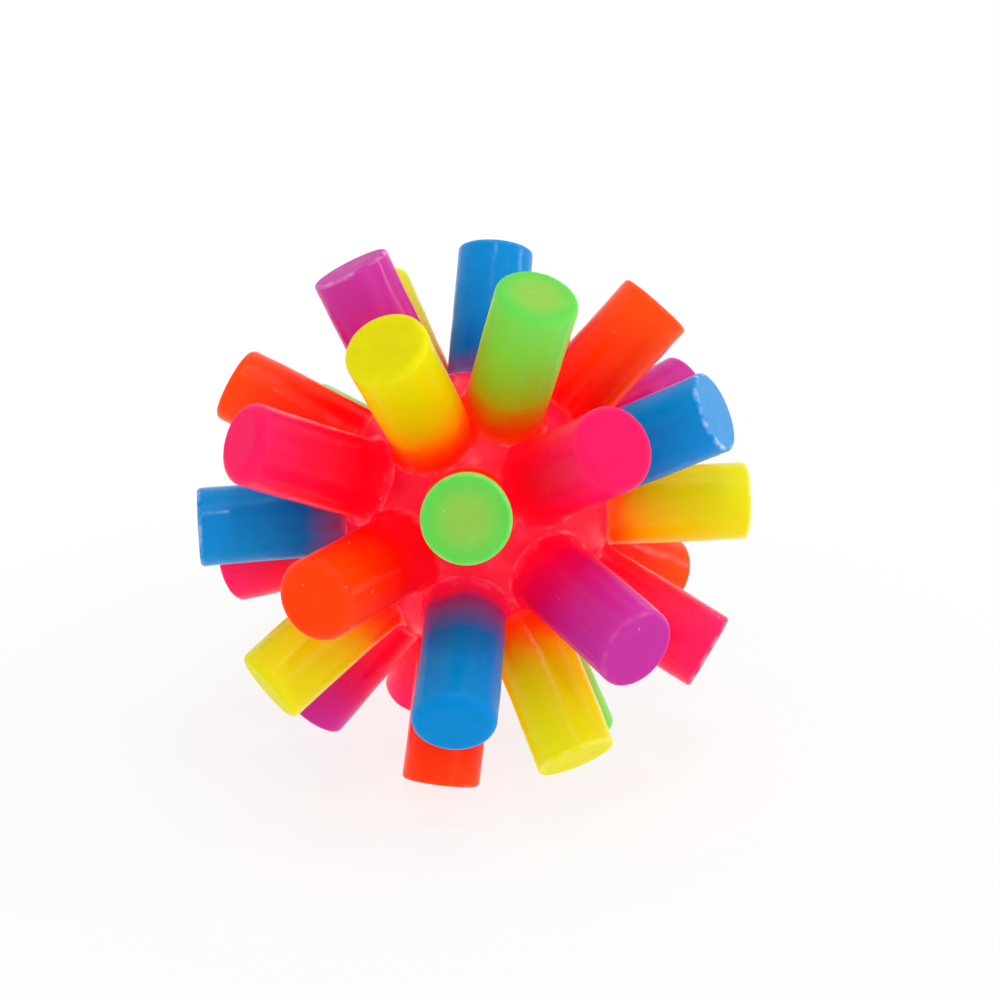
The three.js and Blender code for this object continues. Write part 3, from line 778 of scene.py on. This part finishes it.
def makeCapsule():
    looks = {slot: innerFinish(slot) for slot in innerFinishes}
    boxes = {node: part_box(node) for node in frame["nodes"]}
    base = {node: low[2] for node, (low, high) in boxes.items()}
    top = {node: high[2] for node, (low, high) in boxes.items()}
    reach = {node: (high[0] - low[0]) / 2 for node, (low, high) in boxes.items()}
    soft = capsule["round"]
    shapes = {}  # profile and rounded corners of each turned piece

    outer = top["capsule_upper"]
    inner = outer - capsule["wall"]
    rows = capsule["rows"]
    shapes["capsule_upper"] = (arcPoints(inner, 90, 0, rows) + arcPoints(outer, 0, 90, rows), {})
    seat = base["circuit_board"] - capsule["seatGap"]
    ledge = reach["circuit_board"] + capsule["seatGap"]
    shapes["capsule_lower"] = (
        arcPoints(outer, -90, 0, rows) + [(ledge, 0), (ledge, seat)]
        + arcPoints(inner, math.degrees(math.asin(seat / inner)), -90, rows), {})
    for node, corners in {"circuit_board": (1, 2), "switch_post": (1,)}.items():
        wide, low, high = reach[node], base[node], top[node]
        shapes[node] = ([(0, low), (wide, low), (wide, high), (0, high)],
                        {corner: soft for corner in corners})
    for node in ("led_red", "led_green", "led_blue"):
        wide, low = reach[node], base[node]
        lens, ledge = wide - capsule["flange"], low + capsule["flangeHeight"]
        shapes[node] = ([(0, low), (wide, low), (wide, ledge), (lens, ledge)]
                        + arcPoints(lens, 0, 90, capsule["lensRows"], top[node] - lens), {2: soft})
    wide, low, high = reach["driver_chip"], base["driver_chip"], top["driver_chip"]
    curve = (wide ** 2 + (high - low) ** 2) / (2 * (high - low))
    brim = math.degrees(math.acos(wide / curve))
    shapes["driver_chip"] = (
        [(0, low)] + arcPoints(curve, brim, 90, capsule["chipRows"], high - curve), {})
    for node in ("cell_lower", "cell_upper"):
        wide, low, high = reach[node], base[node], top[node]
        cap, shoulder = capsule["capRadius"], low + capsule["capHeight"]
        groove, lip = shoulder + capsule["gasketDepth"], cap + capsule["gasket"]
        shapes[node] = ([(0, low), (cap, low), (cap, groove), (lip, groove), (lip, shoulder),
                         (wide, shoulder), (wide, high), (0, high)],
                        {1: soft, 5: capsule["cellRound"], 6: capsule["cellRound"]})
    rings = {"cell_sleeve": reach["cell_sleeve"] - capsule["sleeveWall"],
             "switch_collar": capsule["collarBore"]}
    for node, bore in rings.items():
        wide, low, high = reach[node], base[node], top[node]
        shapes[node] = ([(bore, low), (wide, low), (wide, high), (bore, high)],
                        {corner: soft for corner in range(4)})
    for node, (profile, rounds) in shapes.items():
        low, high = boxes[node]
        middle = [(low[axis] + high[axis]) / 2 for axis in (0, 1)]
        piece = turnedPiece(node + "_finish", profile, looks[slotOf[node]], rounds, middle,
                            ring=node in rings)
        standsFor(piece, node)

    low, high = boxes["switch_spring"]
    wire = capsule["coilWire"]
    middle = [(boxes["switch_post"][0][axis] + boxes["switch_post"][1][axis]) / 2
              for axis in (0, 1)]
    values = {"Turns": capsule["coilTurns"], "Coil Radius": capsule["coilRadius"],
              "Wire Radius": wire, "Height": high[2] - low[2] - 2 * wire,
              "Place": (*middle, low[2] + wire), "Material": looks["spring_steel"]}
    standsFor(pieceFromTree("switch_spring_wire", coilTree(), values), "switch_spring")

    for node in ("contact_upper", "contact_lower"):
        for slot in frame["nodes"][node].material_slots:
            slot.material = looks[slotOf[node]]
    print("light capsule made:", len(shapes) + 1, "pieces")


# Stage: a pale floor that runs into a white surround, and small soft lamps that draw the thin lines
# of gloss along the fingers
stage = {"floorRadius": 1.2, "floorSides": 64, "floorColour": "#7a7a7a", "floorLift": 0.81,
         "floorRoughness": 0.9, "worldLight": 0.58, "fadeFrom": 0.04, "fadeTo": 0.13}
white = (1, 1, 1, 1)
lamps = [  # name, place, width, height, watts
    ("topLamp", (0.10, -0.06, 0.58), 0.3, 0.3, 0.55),
    ("stripeLamp", (0.0, -0.30, 0.50), 0.04, 0.04, 0.35),
    ("sideLamp", (0.54, 0.04, 0.16), 0.03, 0.2, 0.5),
    ("fillLamp", (0.34, -0.38, 0.22), 0.3, 0.3, 0.42),
]


def makeStage():
    sides = stage["floorSides"]
    turns = [2 * math.pi * step / sides for step in range(sides)]
    wide, low = stage["floorRadius"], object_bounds()[0][2]
    rim = [(wide * math.cos(turn), wide * math.sin(turn), low) for turn in turns]
    floor = bpy.data.objects.new("floor", bpy.data.meshes.new("floor"))
    scene.collection.objects.link(floor)
    floor.data.from_pydata(rim, [], [list(range(sides))])
    # near the ball the floor takes its shadow, and farther out it is as white as the surround
    material, tree, shader = newMaterial("paleFloor")
    place = addNode(tree, "ShaderNodeTexCoord").outputs["Object"]
    flat = addNode(tree, "ShaderNodeVectorMath", {0: place, 1: (1, 1, 0)}, operation="MULTIPLY")
    far = addNode(tree, "ShaderNodeVectorMath", {0: flat}, operation="LENGTH")
    fade = addNode(tree, "ShaderNodeMapRange",
                   {"Value": far.outputs["Value"], "From Min": stage["fadeFrom"],
                    "From Max": stage["fadeTo"]}, interpolation_type="SMOOTHSTEP")
    shader.inputs["Base Color"].default_value = linear(stage["floorColour"])
    shader.inputs["Roughness"].default_value = stage["floorRoughness"]
    shader.inputs["Specular IOR Level"].default_value = 0.0
    shader.inputs["Emission Color"].default_value = white
    shader.inputs["Emission Strength"].default_value = stage["floorLift"]
    bright = addNode(tree, "ShaderNodeEmission", {"Color": white, "Strength": 1.0})
    both = addNode(tree, "ShaderNodeMixShader", {"Fac": fade, 1: shader, 2: bright})
    output = next(node for node in tree.nodes if node.type == "OUTPUT_MATERIAL")
    tree.links.new(both.outputs[0], output.inputs["Surface"])
    floor.data.materials.append(material)

    world = bpy.data.worlds.new("whiteStudio")
    scene.world = world
    world.use_nodes = True
    tree = world.node_tree
    tree.nodes.clear()
    ray = addNode(tree, "ShaderNodeLightPath").outputs
    mirrored = addNode(tree, "ShaderNodeMath",
                       {0: ray["Is Glossy Ray"], 1: ray["Is Transmission Ray"]},
                       operation="MAXIMUM")
    seen = addNode(tree, "ShaderNodeMath", {0: ray["Is Camera Ray"], 1: mirrored},
                   operation="MAXIMUM")
    strength = addNode(tree, "ShaderNodeMapRange",
                       {"Value": seen, "To Min": stage["worldLight"], "To Max": 1.0})
    background = addNode(tree, "ShaderNodeBackground",
                         {"Color": white, "Strength": strength})
    addNode(tree, "ShaderNodeOutputWorld", {"Surface": background})

    for name, place, width, height, watts in lamps:
        lamp = bpy.data.objects.new(name, bpy.data.lights.new(name, "AREA"))
        scene.collection.objects.link(lamp)
        lamp.location = place
        lamp.rotation_euler = (-Vector(place)).to_track_quat("-Z", "Y").to_euler()
        lamp.data.shape = "RECTANGLE"
        lamp.data.size, lamp.data.size_y = width, height
        lamp.data.energy = watts
    print("stage made")


makeCamera()
makeFingers()
makeCore()
makeCapsule()
makeStage()
